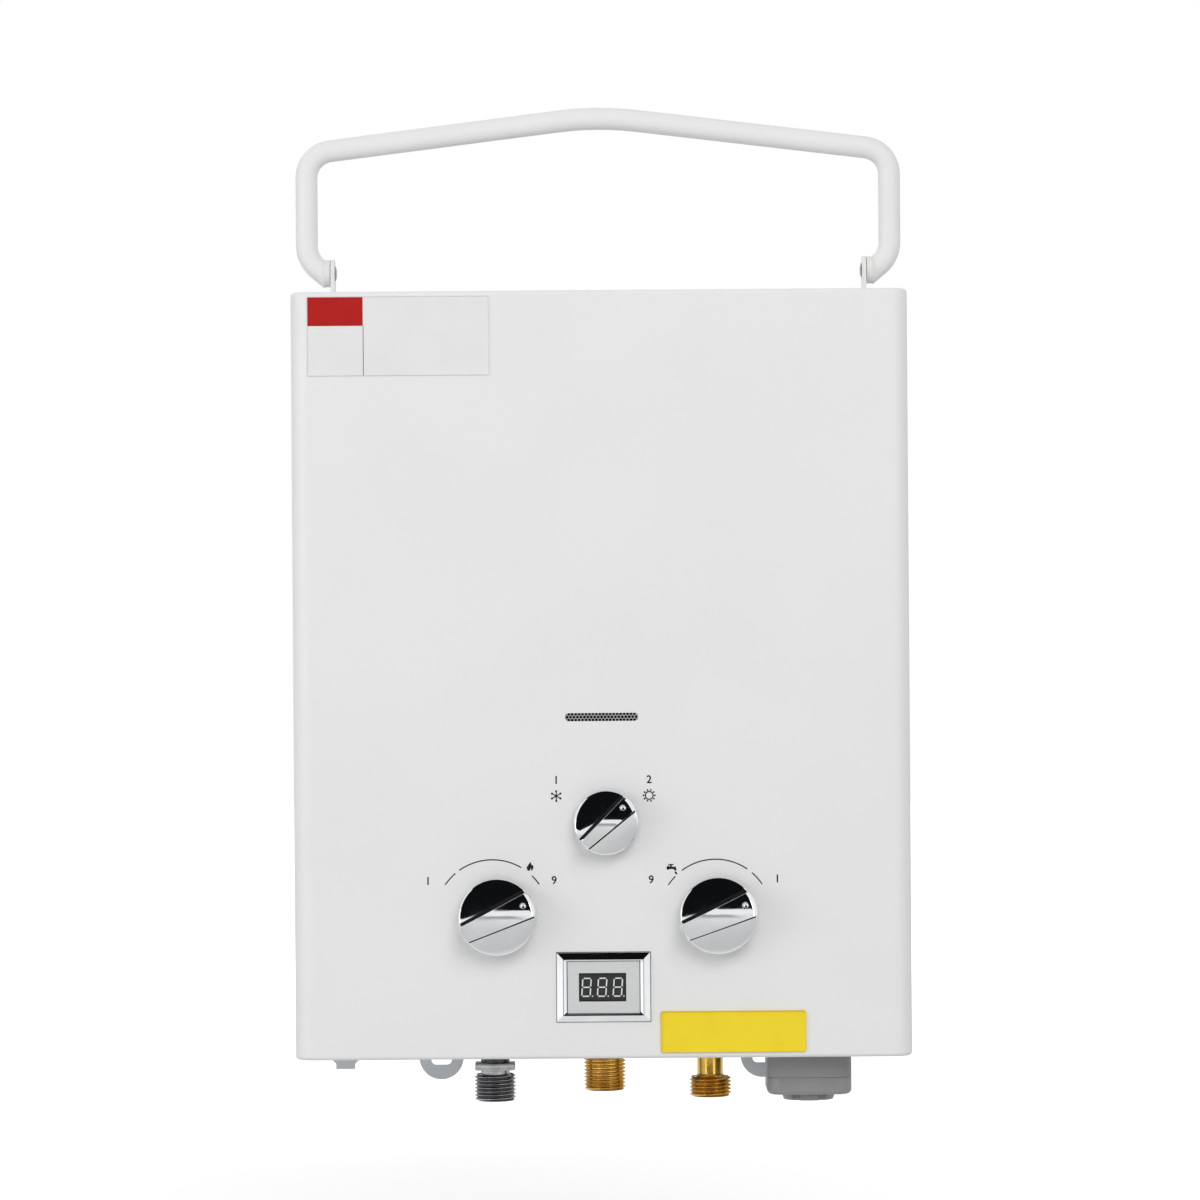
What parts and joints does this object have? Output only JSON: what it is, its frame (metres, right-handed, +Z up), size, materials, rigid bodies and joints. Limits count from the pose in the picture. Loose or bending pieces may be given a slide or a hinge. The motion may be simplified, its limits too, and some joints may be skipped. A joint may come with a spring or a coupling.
{
  "type": "portable propane water heater",
  "caption": "Wall-hung or hand-carried gas water heater in a white steel case, with a folding handle, plated knobs, a temperature display and threaded ports below.",
  "frame": {"origin": "centre of the keyhole on the back face, where the wall screw sits", "axes": "+X to the right seen from the front, +Y into the wall, +Z up"},
  "size_m": [0.3084, 0.119, 0.4972],
  "materials": {
    "white_powder_coat": "fine powder coat",
    "zinc_plated_steel": "bright zinc",
    "steel_screw": "nickel-plated",
    "mesh_steel": "satin",
    "plated_knob": "mirror plating on moulded plastic",
    "satin_panel": "satin silver",
    "window_plastic": "smoked, gloss",
    "moulded_black": "moulded",
    "moulded_grey": "fine moulded grain",
    "nylon": "moulded",
    "zinc_inlet": "satin nickel",
    "brass": "machined",
    "cast_aluminium": "die-cast",
    "copper": "copper, satin",
    "galvanised_sheet": "galvanised",
    "burner_steel": "aluminised",
    "rubber": "moulded",
    "ceramic": "unglazed",
    "battery_jacket": "plain jacket"
  },
  "bodies": {
    "case": {"front_cover": "white_powder_coat", "back_plate": "zinc_plated_steel", "top_panel": "white_powder_coat", "bottom_plate": "galvanised_sheet", "sight_mesh": "mesh_steel", "case_screws": "steel_screw", "handle_bracket_right": "white_powder_coat", "handle_bracket_left": "white_powder_coat", "display_bezel": "plated_knob", "display_panel": "satin_panel", "display_window": "window_plastic", "display_board": "moulded_black", "gas_inlet_fitting": "zinc_inlet", "hot_water_outlet": "brass", "cold_water_inlet": "brass", "gas_valve_body": "cast_aluminium", "water_valve_body": "brass", "diaphragm": "rubber", "diaphragm_cover": "brass", "solenoid_coil": "moulded_black", "rod_switch": "moulded_black", "switch_bracket": "zinc_plated_steel", "gas_riser": "cast_aluminium", "burner_manifold": "cast_aluminium", "burner_frame": "burner_steel", "burner_bar_1": "burner_steel", "burner_bar_2": "burner_steel", "burner_bar_3": "burner_steel", "burner_bar_4": "burner_steel", "burner_bar_5": "burner_steel", "burner_bar_6": "burner_steel", "spark_electrode": "ceramic", "flame_sensor": "ceramic", "exchanger_chamber": "copper", "exchanger_coil": "copper", "exchanger_fins": "copper", "cold_pipe": "copper", "hot_pipe": "copper", "flue_hood": "galvanised_sheet", "overheat_thermostat": "moulded_black", "battery_housing": "moulded_grey", "battery_collar": "moulded_grey", "batteries": "battery_jacket", "spark_controller": "moulded_black"},
    "handle": {"carry_handle": "white_powder_coat", "handle_screws": "steel_screw", "handle_spacers": "nylon"},
    "gas_control": {"gas_knob": "plated_knob", "gas_spindle": "brass"},
    "water_control": {"water_knob": "plated_knob", "water_spindle": "brass"},
    "season_control": {"season_knob": "plated_knob", "season_spindle": "brass"},
    "battery_plug": {"battery_cap": "moulded_grey"},
    "water_rod": {"push_rod": "brass"},
    "lever": {"switch_lever": "steel_screw"},
    "plunger": {"solenoid_plunger": "steel_screw"}
  },
  "joints": [
    {"name": "handle_swing", "type": "hinge", "parent": "case", "child": "handle", "pos_m": [0, -0.05, 0.05], "axis": [1, 0, 0], "range_deg": [-95, 95]},
    {"name": "gas_knob_turn", "type": "hinge", "parent": "case", "child": "gas_control", "pos_m": [-0.052, -0.1, -0.2695], "axis": [0, -1, 0], "range_deg": [0, 130]},
    {"name": "water_knob_turn", "type": "hinge", "parent": "case", "child": "water_control", "pos_m": [0.0565, -0.1, -0.2695], "axis": [0, -1, 0], "range_deg": [0, 130]},
    {"name": "season_knob_turn", "type": "hinge", "parent": "case", "child": "season_control", "pos_m": [0.0018, -0.1, -0.2237], "axis": [0, -1, 0], "range_deg": [0, 95]},
    {"name": "battery_cap_turn", "type": "hinge", "parent": "case", "child": "battery_plug", "pos_m": [0.1018, -0.06, -0.36], "axis": [0, 0, 1], "range_deg": [0, 60]},
    {"name": "water_rod_slide", "type": "slide", "parent": "case", "child": "water_rod", "axis": [-1, 0, 0], "range_m": [0, 0.003], "stiffness_N_per_m": 800, "springref_m": -0.002},
    {"name": "switch_lever_turn", "type": "hinge", "parent": "case", "child": "lever", "pos_m": [-0.0016, -0.048, -0.256], "axis": [0, 1, 0], "range_deg": [0, 23]},
    {"name": "plunger_lift", "type": "slide", "parent": "case", "child": "plunger", "axis": [-1, 0, 0], "range_m": [0, 0.0025], "stiffness_N_per_m": 300, "springref_m": -0.001}
  ],
  "couplings": [
    {"joint": "switch_lever_turn", "follows": "water_rod_slide", "rad_per_m": 133.33}
  ]
}
